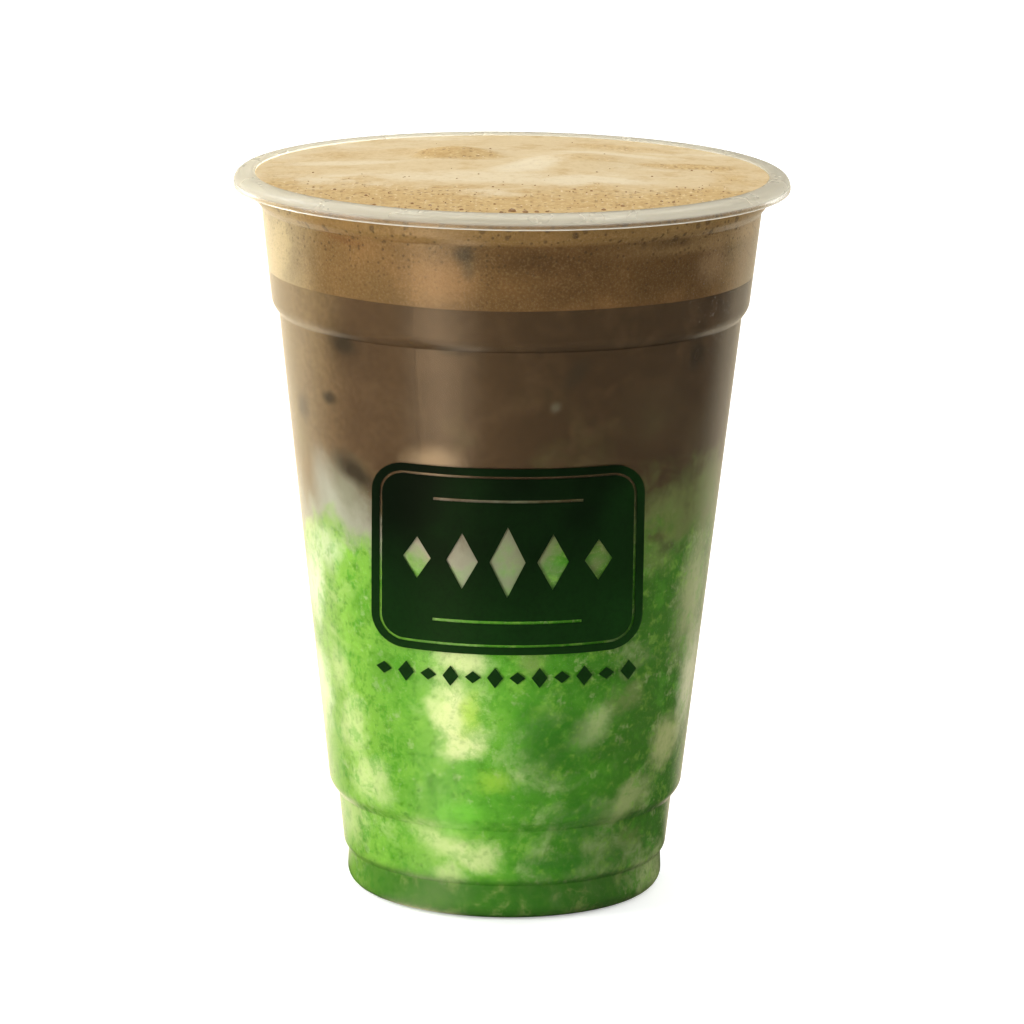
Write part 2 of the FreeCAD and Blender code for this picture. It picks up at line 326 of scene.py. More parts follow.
def sway(piece, level, depth, spread, name):
    """Lets one level rise and fall softly by up to depth either way. The ring at the wall then
    slides out or in with the wall's lean, so that no air opens between drink and plastic."""
    piece.vertex_groups.clear()
    group = piece.vertex_groups.new(name=name)
    for vert in piece.data.vertices:
        if abs(vert.co.z / MM - level) < 0.01:
            group.add([vert.index], 1.0, "REPLACE")
    clouds = bpy.data.textures.get(name) or bpy.data.textures.new(name, "CLOUDS")
    clouds.noise_scale = spread * MM
    clouds.noise_depth = 0
    apply_modifier(
        piece,
        "DISPLACE",
        texture=clouds,
        texture_coords="LOCAL",
        direction="Z",
        strength=2 * depth * MM,
        mid_level=0.5,
        vertex_group=name,
    )
    for vert in piece.data.vertices:
        out = math.hypot(vert.co.x, vert.co.y)
        if vert.groups and out > 1e-4:
            slide = radius_at(vert.co.z / MM) * MM / out
            vert.co.x *= slide
            vert.co.y *= slide


# %% Green milk and tea
green = draw_outline("green_milk_layer", layer_outline(0, GREEN_LEVEL))
spin_outline(green)
sway(green, GREEN_LEVEL, *GREEN_SWAY, "green_level")
tea = draw_outline("tea_layer", layer_outline(GREEN_LEVEL, FOAM_LEVEL))
spin_outline(tea)
sway(tea, GREEN_LEVEL, *GREEN_SWAY, "green_level")
sway(tea, FOAM_LEVEL, *FOAM_SWAY, "foam_level")
for piece, node, slot in ((green, "green_milk", "green_milk"), (tea, "tea_latte", "tea_latte")):
    smooth(piece, 30)
    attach(piece, "root")
    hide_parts(node)

# %% [markdown]
# ## The foam
#
# The foam's top is the one face of the drink that is seen bare, so it gets a fine mesh: the top
# line of its outline is cut many times before the spin. Proportional moves then raise the crown
# and the two low mounds over hidden ice, as a hand would with soft selection, and a Displace
# modifier sways the foam's lower level, where it meets the tea.

# %% The foam's body
CROWN, CROWN_SPREAD = 0.9, 44
TOP_CUTS = 84
MOUNDS = ((-10.3, 18.5, 1.15, 10.5), (12.4, 11.0, 0.85, 13.0))  # across, back, height, spread


def pull_up(piece, across, back, height, spread):
    """Raises the top at one place, with a soft falloff round it."""
    bpy.ops.object.mode_set(mode="EDIT")
    bpy.ops.mesh.select_mode(type="VERT")
    spot = Vector((across, back, BRIM)) * MM
    grid = bmesh.from_edit_mesh(piece.data)
    closest = min(grid.verts, key=lambda vert: (vert.co - spot).length)
    choose(piece, lambda vert: vert == closest)
    bpy.ops.transform.translate(
        value=(0, 0, height * MM),
        use_proportional_edit=True,
        use_proportional_connected=True,
        proportional_edit_falloff="SMOOTH",
        proportional_size=spread * MM,
    )
    bpy.ops.object.mode_set(mode="OBJECT")


def foam_body():
    outline = layer_outline(FOAM_LEVEL, BRIM)
    outline[-2] = (radius_at(BRIM) + 0.1, BRIM, 0.35)
    piece = draw_outline("milk_foam", outline)
    bpy.ops.mesh.select_mode(type="EDGE")
    top = BRIM * MM

    def on_top(edge):
        return edge.calc_length() > 0.03 and min(v.co.z for v in edge.verts) > top - 1e-6

    choose(piece, on_top, "edges")
    bpy.ops.mesh.subdivide(number_cuts=TOP_CUTS)
    spin_outline(piece)
    sway(piece, FOAM_LEVEL, *FOAM_SWAY, "foam_level")
    take(piece)
    pull_up(piece, 0, 0, CROWN, CROWN_SPREAD)
    for mound in MOUNDS:
        pull_up(piece, *mound)
    return piece


foam = foam_body()
smooth(foam, 50)
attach(foam, "root")
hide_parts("foam")
heights = [vert.co.z / MM for vert in foam.data.vertices]
print(f"foam from {min(heights):.2f} to {max(heights):.2f} mm")

# %% [markdown]
# ## The printed panel
#
# The cup's front carries a dark green printed panel. Ink is thinner than paper, so the panel is a
# flat sheet that is cut to shape first: the corners are bevelled, two insets give the keyline, and
# straight cuts through the sheet leave lozenges and rules that are then deleted, so the drink
# shows through them as it does through unprinted plastic. A Shrinkwrap modifier lays the sheet on
# the wall. Cutting flat and wrapping late keeps every line true.

# %% Sizes of the print
PANEL_WIDE, PANEL_HIGH, PANEL_MIDDLE = 45.7, 32.6, 64.6
PANEL_ROUND = 5.5
BORDER, KEYLINE = 1.35, 0.42
LOZENGES = [(7.6 * i, 3.0 - 0.35 * abs(i), 6.2 - 1.3 * abs(i)) for i in range(-2, 3)]
RULES = (10.6, -10.6)  # heights of the two thin rules beside the panel's middle
RULE_HALF, RULE_THICK = 12.5, 0.5
ROW_HEIGHT, ROW_STEP, ROW_COUNT = 44.2, 3.75, 12
ROW_HALF = 1.35  # half a small lozenge's width
ROW_TALL, ROW_LOW = 1.35, 0.8  # the height of every second one and of the others, for one wide
INK_LIFT, INK_THICK = 0.02, 0.03
IN_FRONT = -60.0  # where the sheet is cut, before it is laid on the wall
print(f"panel {PANEL_WIDE} by {PANEL_HIGH} mm, {len(LOZENGES)} lozenges and {ROW_COUNT} small ones")


def cut(plane_spot, plane_normal):
    bpy.ops.mesh.select_all(action="SELECT")
    bpy.ops.mesh.bisect(plane_co=Vector(plane_spot) * MM, plane_no=plane_normal, use_fill=False)


def drop_faces(piece, test):
    """Deletes the faces whose middle, in mm across and up, passes the test."""
    bpy.ops.mesh.select_mode(type="FACE")

    def inside(face):
        middle = face.calc_center_median() / MM
        return test(middle.x, middle.z)

    choose(piece, inside, "faces")
    bpy.ops.mesh.delete(type="FACE")


# %% The panel, flat
def flat_panel():
    rest()
    spot = (0, IN_FRONT * MM, PANEL_MIDDLE * MM)
    bpy.ops.mesh.primitive_plane_add(size=MM, location=spot, rotation=(math.pi / 2, 0, 0))
    panel = bpy.context.object
    panel.name = "printed_panel"
    bpy.ops.object.transform_apply(location=True, rotation=True, scale=True)
    bpy.ops.object.mode_set(mode="EDIT")
    bpy.ops.mesh.select_all(action="SELECT")
    bpy.ops.transform.resize(value=(PANEL_WIDE, 1, PANEL_HIGH))
    bpy.ops.mesh.bevel(offset=PANEL_ROUND * MM, segments=10, affect="VERTICES")
    bpy.ops.mesh.select_mode(type="FACE")
    bpy.ops.mesh.select_all(action="SELECT")
    bpy.ops.mesh.inset(thickness=BORDER * MM)
    grid = bmesh.from_edit_mesh(panel.data)
    border = {face.index for face in grid.faces if not face.select}
    bpy.ops.mesh.inset(thickness=KEYLINE * MM)
    grid = bmesh.from_edit_mesh(panel.data)
    grid.faces.index_update()
    middle = {face.index for face in grid.faces if face.select}
    ring = choose(panel, lambda face: face.index not in border | middle, "faces")
    bpy.ops.mesh.delete(type="FACE")
    print("keyline faces taken out:", ring)
    return panel


# %% Windows in the panel, and the row under it
def cut_windows(panel):
    """Lozenges in a row between two thin rules, left bare of ink."""
    for across, half_wide, half_high in LOZENGES:
        for side in (1, -1):
            for lean in (1, -1):
                cut((across + side * half_wide, 0, PANEL_MIDDLE), (1 / half_wide, 0, lean / half_high))
        drop_faces(
            panel,
            lambda x, z: abs(x - across) / half_wide + abs(z - PANEL_MIDDLE) / half_high < 1,
        )
    for rule in RULES:
        for edge in (-0.5, 0.5):
            cut((0, 0, PANEL_MIDDLE + rule + edge * RULE_THICK), (0, 0, 1))
    for end in (-RULE_HALF, RULE_HALF):
        cut((end, 0, 0), (1, 0, 0))
    for rule in RULES:
        drop_faces(
            panel,
            lambda x, z: abs(x) < RULE_HALF and abs(z - PANEL_MIDDLE - rule) < RULE_THICK / 2,
        )


def add_row():
    """A row of small lozenges under the panel, in the sheet that is being edited."""
    for i in range(ROW_COUNT):
        across = (i - (ROW_COUNT - 1) / 2) * ROW_STEP
        bpy.ops.mesh.select_all(action="DESELECT")
        bpy.ops.mesh.primitive_circle_add(
            vertices=4,
            radius=ROW_HALF * MM,
            fill_type="NGON",
            location=(across * MM, IN_FRONT * MM, ROW_HEIGHT * MM),
            rotation=(math.pi / 2, 0, 0),
        )
        bpy.ops.transform.resize(value=(1, 1, ROW_TALL if i % 2 else ROW_LOW))


# %% The panel, cut and wrapped
def lay_on_wall(piece, lift, thick):
    """Projects a flat sheet onto the cup and gives it thickness."""
    apply_modifier(
        piece,
        "SHRINKWRAP",
        target=cup,
        wrap_method="PROJECT",
        use_project_y=True,
        use_positive_direction=True,
        use_negative_direction=False,
        wrap_mode="ABOVE_SURFACE",
        offset=lift * MM,
    )
    apply_modifier(piece, "SOLIDIFY", thickness=thick * MM, offset=1.0)


panel = flat_panel()
cut_windows(panel)
add_row()
# a cut at every millimetre lets the sheet follow the round wall
for step in range(-23, 24):
    cut((step, 0, 0), (1, 0, 0))
bpy.ops.mesh.select_all(action="SELECT")
bpy.ops.mesh.remove_doubles(threshold=1e-7)
lay_on_wall(panel, INK_LIFT, INK_THICK)
smooth(panel, 30)
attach(panel, "root")

# %% [markdown]
# ## Bubbles on the foam
#
# Milk foam holds bubbles of many sizes. The finest are a matter of finish, and the ones that
# catch a spark of light are modelled: one low dome of a few dozen faces, copied and scaled, thick
# along the front edge where they gather and thin elsewhere. A ray cast straight down finds the
# foam under each, so that every dome sits in it. All are joined into one piece.


# %% One dome and the places for its copies
SINK = 0.105  # how deep a dome sits in the foam, as a share of its radius
BUBBLE_COUNT = 170


def one_dome():
    """A low dome of unit radius, closed below, kept as points and faces to copy."""
    rest()
    bpy.ops.mesh.primitive_uv_sphere_add(segments=10, ring_count=6, radius=1)
    dome = bpy.context.object
    bpy.ops.object.mode_set(mode="EDIT")
    bpy.ops.mesh.select_all(action="SELECT")
    bpy.ops.mesh.bisect(plane_co=(0, 0, -0.45), plane_no=(0, 0, 1), use_fill=True, clear_inner=True)
    rest()
    return dome


def bubble_places(count):
    """Places and radii in mm: the large few near the front edge first, then many small ones."""
    picked = [(0.1, -40.4, 0.72), (2.3, -41.2, 0.5), (4.1, -40.8, 0.42), (5.8, -40.6, 0.34)]
    picked += [(-1.7, -41.8, 0.36), (-8.2, -39.6, 0.38), (-12.2, -39.4, 0.3), (-22.6, -35.5, 0.36)]
    picked += [(15.1, -38.0, 0.44), (18.3, -34.0, 0.4), (-13.4, -35.6, 0.3), (-16.4, -34.0, 0.32)]
    picked += [(-24.2, -26.4, 0.34), (-29.6, -20.4, 0.3), (26.8, -29.2, 0.32), (-2.8, -34.0, 0.26)]
    while len(picked) < count:
        out = 43.0 * math.sqrt(random.random())
        turn = random.uniform(0, math.tau)
        across, back = out * math.cos(turn), out * math.sin(turn)
        front = (20 - back) / 60  # 1 at the front edge
        if random.random() < 0.008 + 0.9 * max(front, 0) ** 2.6:
            picked.append((across, back, random.uniform(0.1, 0.16) + 0.14 * random.random() ** 4))
    return picked


# %% The bubbles
def scatter_domes(name, places):
    """Copies the dome to every place on the foam and joins the copies into one piece."""
    dome = one_dome()
    copies = []
    for across, back, radius in places:
        start = Vector((across, back, CUP_HEIGHT + 5)) * MM
        hit, spot, _, _ = foam.ray_cast(start, Vector((0, 0, -1)))
        if not hit:
            continue
        copy = bpy.data.objects.new(name, dome.data.copy())
        bpy.context.scene.collection.objects.link(copy)
        copy.location = spot - Vector((0, 0, radius * SINK)) * MM
        copy.scale = Vector((radius, radius, radius * 0.75)) * MM
        copies.append(copy)
    rest()
    bpy.data.objects.remove(dome)
    for copy in copies:
        copy.select_set(True)
    bpy.context.view_layer.objects.active = copies[0]
    bpy.ops.object.join()
    joined = bpy.context.object
    bpy.ops.object.transform_apply(location=True, rotation=True, scale=True)
    joined.name = name
    return joined


bubbles = scatter_domes("foam_bubbles", bubble_places(BUBBLE_COUNT))
smooth(bubbles, 60)
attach(bubbles, "root")

# %% [markdown]
# ## Studio
#
# A white floor, a large soft light on the left and one overhead, two small ones high up that put
# sparks on the bubbles, and a narrow one close to the cup for the band of light down its front.
# Two lamps behind, left and right, rim the drink. Those two light only the drink and the floor,
# and the narrow one only the drink, so the glossy rim mirrors no lamp that a photographer would
# have screened off. A small cool lamp near the rim on the left lights only the cup, and makes the
# frosted rim glow.

# %% Floor and lights
AMBIENT = 0.35  # how bright the backdrop is as a light
rest()
bpy.ops.mesh.primitive_plane_add(size=12)
floor = bpy.context.object
floor.name = "floor"
floor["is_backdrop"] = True


def softbox(name, place, aim, wide, high, power, colour=(1, 1, 1)):
    """A rectangular soft light at place, turned to face aim."""
    lamp = bpy.data.lights.new(name, "AREA")
    lamp.shape = "RECTANGLE"
    lamp.size, lamp.size_y = wide, high
    lamp.energy = power
    lamp.color = colour
    holder = bpy.data.objects.new(name, lamp)
    bpy.context.scene.collection.objects.link(holder)
    holder.location = place
    holder.visible_camera = False
    holder.rotation_euler = (Vector(aim) - Vector(place)).to_track_quat("-Z", "Y").to_euler()
    print(f"{name}: {power} W, {(Vector(aim) - Vector(place)).length:.2f} m away")
    return holder


softbox("key_left", (-1.0, -0.25, 0.42), (0, 0, 0.07), 0.7, 1.0, 4)
edge_left = softbox("edge_left", (-0.85, 0.5, 0.3), (0, 0, 0.07), 0.4, 0.7, 11)
edge_right = softbox("edge_right", (0.85, 0.55, 0.3), (0, 0, 0.07), 0.4, 0.7, 4)
softbox("overhead", (0.1, 0.25, 1.3), (0, 0, 0.1), 1.6, 1.6, 12)
for side in (-1, 1):
    softbox("spark", (0.5 * side, -0.35, 0.9), (0, 0, 0.12), 0.14, 0.05, 1.4)
band = softbox("band", (-0.122, -0.18, 0.05), (0, 0, 0.08), 0.03, 0.09, 0.24)
rim_lamp = softbox("rim_lamp", (-0.13, 0.03, 0.2), (-0.045, 0, 0.124), 0.05, 0.05, 0.16, (0.93, 0.97, 1))
rim_lamp.visible_glossy = False

# %% What each lamp may light, and the backdrop
contents = [foam, tea, green]
with_floor = contents + [floor]
reached = ((band, contents), (rim_lamp, [cup]), (edge_left, with_floor), (edge_right, with_floor))
for lamp, pieces in reached:
    lit = bpy.data.collections.new("lit_by_" + lamp.name)
    for piece in pieces:
        lit.objects.link(piece)
    lamp.light_linking.receiver_collection = lit
    print(f"{lamp.name} lights", [piece.name for piece in pieces])

world = bpy.data.worlds.new("studio")
bpy.context.scene.world = world
world.use_nodes = True
world.node_tree.nodes["Background"].inputs["Color"].default_value = (1, 1, 1, 1)
world.node_tree.nodes["Background"].inputs["Strength"].default_value = AMBIENT

# %% [markdown]
# ## Cards round the cup
#
# Clear plastic shows its studio: what it mirrors draws its shape. Photographers set cards round a
# cup for this. The sheet below does the same. It lies on the floor and only reflections see it.
# It is bright behind on the left, paler behind on the right, nearly dark in front, and has one
# bright strip a little to the left of the camera.

# %% Reflector sheet
rest()
bpy.ops.mesh.primitive_circle_add(vertices=64, radius=3, fill_type="NGON", location=(0, 0, 0.0004))
cards = bpy.context.object
cards.name = "reflector_sheet"
cards.visible_camera = False
cards.visible_diffuse = False
cards.visible_transmission = False
cards.visible_shadow = False
cards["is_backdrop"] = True
print(f"{cards.name}: {cards.dimensions.x:.1f} m across")

# %% [markdown]
# ## Camera
#
# It stands about a metre away with a long lens, so the cup's sides hardly converge, and looks a
# little down on the foam. The Standard view keeps colours as they were mixed.

# %% Camera
LOOK_DOWN, ROLL = 12.30, 0.67
rest()
bpy.ops.object.camera_add(location=(0.00065, -0.9536, 0.2734))
camera = bpy.context.object
camera.rotation_mode = "XYZ"
camera.rotation_euler = (math.radians(90 - LOOK_DOWN), 0, 0)
camera.rotation_euler.rotate_axis("Z", math.radians(ROLL))
camera.data.sensor_width = 36
camera.data.lens = 198.6
bpy.context.scene.camera = camera
bpy.context.scene.view_settings.view_transform = "Standard"
print(f"camera {camera.location.length:.3f} m away, {LOOK_DOWN} degrees down")

# %% [markdown]
# ## How the finishes are written
#
# Every finish is made of a few plain steps: read the place on the object, draw noise there, turn
# the noise into masks, and mix colours by the masks. Small helpers with short names keep each
# finish readable as a recipe. A socket knows the node tree it belongs to, so a helper finds the
# tree from the sockets it is given. Places are read in object coordinates, which are metres here,
# so a noise scale of 100 gives blotches about ten millimetres wide.


# %% Nodes, sums and mixes
def paint(code):
    """A hex colour as Blender's linear light."""
    parts = [int(code[i : i + 2], 16) / 255 for i in (0, 2, 4)]
    return tuple(c / 12.92 if c <= 0.04045 else ((c + 0.055) / 1.055) ** 2.4 for c in parts) + (1,)


def join(value, socket):
    """Links a socket, or sets a plain value or a hex colour."""
    if isinstance(value, bpy.types.NodeSocket):
        socket.id_data.links.new(value, socket)
    else:
        socket.default_value = paint(value) if isinstance(value, str) else value


def new_node(kind, values):
    """A node in the tree that the first socket among the values belongs to."""
    tree = next(v.id_data for v in values if isinstance(v, bpy.types.NodeSocket))
    return tree.nodes.new("ShaderNode" + kind)


def add(kind, settings=None, tree=None, **inputs):
    """A node with its settings and inputs. One that is given no socket needs its tree named."""
    made = tree.nodes.new("ShaderNode" + kind) if tree else new_node(kind, inputs.values())
    for key, value in (settings or {}).items():
        setattr(made, key, value)
    for key, value in inputs.items():
        join(value, made.inputs[key.replace("_", " ")])
    return made


def calc(operation, *values):
    made = new_node("Math", values)
    made.operation = operation
    for socket, value in zip(made.inputs, values):
        join(value, socket)
    return made.outputs[0]


def times(first, second):
    return calc("MULTIPLY", first, second)


def mix(share, first, second):
    made = new_node("Mix", (share, first, second))
    made.data_type = "RGBA"
    for index, value in ((0, share), (6, first), (7, second)):
        join(value, made.inputs[index])
    return made.outputs[2]


print("mid grey as linear light: %.3f" % paint("808080")[0])


# %% Masks and noises
def rise(value, low, high, start=0.0, end=1.0):
    """Rises smoothly from start to end as value goes from low to high."""
    made = add("MapRange", {"interpolation_type": "SMOOTHSTEP"}, Value=value)
    for name, number in (("From Min", low), ("From Max", high), ("To Min", start), ("To Max", end)):
        join(number, made.inputs[name])
    return made.outputs[0]


def lay(colour, guide, low, high, strength, shade):
    """Lays a shade over the colour as the guide goes from low to high, up to a strength."""
    return mix(rise(guide, low, high, 0.0, strength), colour, shade)


def noise(place, scale, detail=2.0, rough=0.5):
    return add("TexNoise", Vector=place, Scale=scale, Detail=detail, Roughness=rough).outputs["Fac"]


def stretched(place, across, deep, up):
    """The same place with each direction scaled, which draws a pattern out along the others."""
    return add("Mapping", Vector=place, Scale=(across, deep, up)).outputs[0]


def from_axis(place):
    """The distance from the cup's axis."""
    level = stretched(place, 1, 1, 0)
    return add("VectorMath", {"operation": "LENGTH"}, Vector=level).outputs["Value"]


def unsteady(place, scale, reach):
    """The place pushed about by noise, in mm, so that the edges of a mask wander."""
    colour = add("TexNoise", Vector=place, Scale=scale, Detail=3.0).outputs["Color"]
    centred = add("VectorMath", {"operation": "SUBTRACT"}, Vector=colour)
    centred.inputs[1].default_value = (0.5, 0.5, 0.5)
    pushed = add("VectorMath", {"operation": "MULTIPLY_ADD"}, Vector=centred.outputs[0])
    pushed.inputs[1].default_value = (2 * reach * MM,) * 3
    join(place, pushed.inputs[2])
    return pushed.outputs[0]


# %% Patches on the wall
LEAST_DEEP = 9.0  # a patch reaches at least this deep, so that the wandering can't leave it behind


def patch(place, spot, size, tilt=0.0, turn=0.0):
    """A soft mask round a spot, in mm: 1 in its middle, 0 from its edge outward."""
    made = add(
        "Mapping",
        {"vector_type": "TEXTURE"},
        Vector=place,
        Location=tuple(c * MM for c in spot),
        Rotation=(0, math.radians(tilt), math.radians(turn)),
        Scale=tuple(c * MM for c in size),
    )
    return add("TexGradient", {"gradient_type": "SPHERICAL"}, Vector=made.outputs[0]).outputs["Fac"]


def add_spots(place, colour, spots, wander, fray):
    """Lays soft ragged patches on the wall, over the colour so far. Each spot is its place across
    and up, its half width and half height, its tilt, how strongly it shows and its colour."""
    wandering = unsteady(place, 170, wander)
    frayed = times(calc("SUBTRACT", noise(place, 300, 7.0, 0.72), 0.5), fray)
    for across, height, wide, high, tilt, strength, shade in spots:
        deep = -math.sqrt(max(radius_at(height) ** 2 - across**2, 0))
        mask = patch(wandering, (across, deep, height), (wide, max(wide, LEAST_DEEP), high), tilt)
        colour = lay(colour, calc("ADD", mask, frayed), 0.05, 0.85, strength, shade)
    return colour


# %% Dots on the wall laid flat
AROUND = 0.042  # metres along the wall for each radian round it


def unrolled(across, back, up):
    """The wall laid out flat: the way round it, and the height."""
    turn = calc("ARCTAN2", across, times(back, -1.0))
    return add("CombineXYZ", X=times(turn, AROUND), Y=up).outputs[0]


def dots(sheet, scale, spread, few=0.0):
    """Round dots of uneven size on a flat sheet: 1 in a dot's middle. A share of the cells, few,
    stays without a dot."""
    cells = add("TexVoronoi", {"feature": "F1", "voronoi_dimensions": "2D"}, Vector=sheet, Scale=scale)
    chance = add("SeparateXYZ", Vector=cells.outputs["Color"]).outputs[0]
    reach = calc("ADD", rise(chance, few, 1.0, 0.0, spread), 0.0001)
    return rise(calc("DIVIDE", cells.outputs["Distance"], reach), 1.0, 0.55)


# %% Starting and ending a finish
def start_finish(name, piece):
    """A new material on a piece: its shader and the places its patterns are read from."""
    mat = bpy.data.materials.new(name)
    mat.use_nodes = True
    piece.data.materials.clear()
    piece.data.materials.append(mat)
    place = add("TexCoord", tree=mat.node_tree).outputs["Object"]
    return mat.node_tree.nodes["Principled BSDF"], place, add("SeparateXYZ", Vector=place).outputs


def set_up(shader, **values):
    for key, value in values.items():
        shader.inputs[key.replace("_", " ")].default_value = value


def bump(shader, height, strength, depth):
    """Bump by a height from 0 to 1 that stands for this depth in mm."""
    made = add("Bump", Height=height, Strength=strength, Distance=depth * MM)
    join(made.outputs[0], shader.inputs["Normal"])


def blend(share, first, second):
    """A Mix Shader of two shaders."""
    made = add("MixShader", Fac=share)
    join(first.outputs[0], made.inputs[1])
    join(second.outputs[0], made.inputs[2])
    return made


def show(shader):
    """Sends a shader to the material's surface."""
    join(shader.outputs[0], shader.id_data.nodes["Material Output"].inputs["Surface"])


def let_lamps_through(shader, colour):
    """Thin clear stuff doesn't stop the lamps: for their rays it is a tinted pane."""
    pane = add("BsdfTransparent", tree=shader.id_data, Color=colour)
    path = add("LightPath", tree=shader.id_data)
    show(blend(path.outputs["Is Shadow Ray"], shader, pane))


def tell(piece):
    mat = piece.data.materials[0]
    print(f"{piece.name}: {mat.name}, {len(mat.node_tree.nodes)} nodes")


# %% [markdown]
# ## Clear plastic
#
# Thin polypropylene is clear with a slight milkiness, and milkier where the sheet is thick, at
# the rolled rim. Thin lines along the rim's outer lip and the cut hem are milkier still: painted
# highlights, for light caught on their rounded edges. A transmission a little under one gives the
# wall a breath of haze. The rim is frosted: there a Translucent shader is mixed in, which hands
# light on from behind and keeps the rim pale where a plain glass would turn dark. A few specks of
# dew sit on one side. A Light Path mix lets lamps shine through to the drink, as thin plastic does.


# %% Plastic
def clear_plastic(piece):
    shader, place, (across, back, up) = start_finish("clear_plastic", piece)
    set_up(shader, IOR=1.49)
    flange = rise(up, 0.1231, 0.1238)
    reach = from_axis(place)
    outside = rise(reach, 0.0452, 0.0458)
    # painted highlights: the hem and the outer lip get thin milky lines for light caught on their
    # rounded edges
    hem = times(rise(up, 0.12285, 0.12255), outside)
    lip = times(rise(reach, 0.0468, 0.0473), flange)
    cloudy = noise(stretched(place, 1, 1, 3), 110, 3.0)
    milky = times(flange, rise(cloudy, 0.25, 0.75, 0.12, 0.18))
    edges = calc("MAXIMUM", hem, lip)
    milky = calc("MAXIMUM", milky, times(edges, 0.5))
    milky = calc("MAXIMUM", milky, times(outside, 0.02))
    dewy = patch(place, (32, -20, 108), (9, 14, 22), -10)
    specks = dots(unrolled(across, back, up), 1300, 0.2, 0.5)
    dew = times(specks, rise(dewy, 0.0, 0.9, 0.0, 0.3))
    milky = calc("MAXIMUM", milky, dew)
    join(calc("SUBTRACT", 0.998, milky), shader.inputs["Transmission Weight"])
    join(mix(flange, "FBF8EE", "EBE4CE"), shader.inputs["Base Color"])
    smudges = noise(place, 55, 4.0, 0.6)
    gloss = rise(smudges, 0.35, 0.75, 0.06, 0.14)
    join(calc("MULTIPLY_ADD", flange, 0.18, gloss), shader.inputs["Roughness"])
    draw = noise(stretched(place, 1, 1, 0.25), 95, 1.0)
    draw = times(draw, rise(up, 0.1200, 0.1215, 1.0, 0.08))
    bump(shader, draw, 0.35, 0.2)
    frost = add("BsdfTranslucent", tree=shader.id_data, Color="CECBC0")
    let_lamps_through(blend(times(flange, 0.48), shader, frost), (0.96, 0.955, 0.93, 1))


clear_plastic(cup)
tell(cup)

# %% [markdown]
# ## Roasted tea with milk
#
# Cold milky tea looks evenly brown from afar, yet against the wall it drifts in clouds, lighter
# where milk gathers and darker where ice comes near the plastic. The ice itself stays sunk, so it
# shows only as soft-edged patches. Light and shade are painted in too: the tea darkens towards the
# right, pales at its far left edge, and one pale patch paints the band of light down the front.
# The lowest part greys and turns green where the layers meet, and both layers use the same recipe
# there, so the change of layer leaves no line. Each patch is one line of a list: where it lies, how
# large it is, how it leans, how strong it is, its colour.

# %% Colours of the two layers
TEA_PALE, TEA_MID, TEA_DARK = "5F4B36", "493725", "261B0F"
TEA_LIT_EDGE = "8C7752"
ICE_DARK, ICE_PALE, ICE_EDGE = "1E1B14", "878875", "A4A497"
MEET_PALE, MEET_DULL = "A2A494", "73894F"
GREEN_LEFT, GREEN_BRIGHT, GREEN_MID, GREEN_DEEP = "80AE44", "5CA52E", "33820E", "2C680C"
MILK, MILK_GREEN, MILK_DULL = "DCE4AC", "8DC24C", "8C9C5C"

TEA_SPOTS = (  # across, height, half width, half height, tilt, strength, colour
    # the first patch is painted light: it carries the band of light down the front on above the panel
    (-12.5, 81, 8, 5, 0, 0.6, "A08A6C"),
    (-26.5, 99.5, 9, 7, 10, 0.4, TEA_DARK),
    (-27.5, 100, 3.6, 3.2, 0, 0.9, ICE_DARK),
    (-9, 101, 5.2, 1.6, 0, 0.6, ICE_DARK),
    (10.9, 97, 2.4, 5.2, 35, 0.7, ICE_DARK),
    (31.1, 98, 2.2, 4.4, 12, 0.95, "14110B"),
    (-34.6, 86.9, 1.8, 4.6, 0, 0.7, ICE_DARK),
    (-30.1, 89.9, 1.7, 2, 0, 0.9, ICE_DARK),
    (7.5, 91.5, 1.6, 1.6, 0, 0.25, ICE_PALE),
    (24.5, 88.5, 12, 10, 30, 0.3, "4A4230"),
    (31.5, 80, 7, 15, 10, 0.5, "4E4836"),
    (14, 77, 16, 7, 0, 0.25, TEA_PALE),
    (-27.5, 71.8, 10, 11.5, -12, 0.95, ICE_PALE),
    (-30.8, 73.5, 3.6, 10, -14, 0.75, ICE_EDGE),
    (-25.6, 77.8, 8.5, 3.2, 33, 0.95, ICE_DARK),
    (-20.5, 67.2, 2.2, 2.6, 0, 0.5, "8A5A3C"),
)
print(len(TEA_SPOTS), "patches in the tea")


# %% The tea's recipe
def cloudy_tea(place, across, up):
    drift = noise(unsteady(place, 60, 6), 38, 3.0)
    colour = mix(rise(drift, 0.3, 0.7), TEA_MID, TEA_PALE)
    # painted shade and light: the tea darkens towards the right, away from the light, and pales at its
    # far left edge, where light grazes it
    side = rise(across, -0.026, 0.012)
    colour = mix(times(side, 0.85), colour, TEA_DARK)
    colour = lay(colour, across, -0.026, -0.036, 0.7, TEA_LIT_EDGE)
    haze = noise(unsteady(place, 90, 5), 75, 4.0)
    low = rise(up, 0.098, 0.068)
    colour = mix(times(low, rise(haze, 0.5, 0.75, 0, 0.3)), colour, MEET_DULL)
    curds = noise(unsteady(place, 200, 2), 150, 6.0, 0.65)
    colour = lay(colour, curds, 0.45, 0.7, 0.3, TEA_PALE)
    grain = noise(place, 900, 3.0)
    return lay(colour, grain, 0.3, 0.7, 0.25, TEA_DARK)

# %% [markdown]
# ## Green milk
#
# The green layer is milk and finely ground tea that haven't quite mixed: grains of green, clumps
# of a few millimetres, slow swirls and whole clouds of plain milk. Three noises of falling size
# stand for the swirls, the clumps and the grains. The clouds are listed like the patches in the
# tea, and clumps and grains are laid over them again, so that no cloud looks painted on.

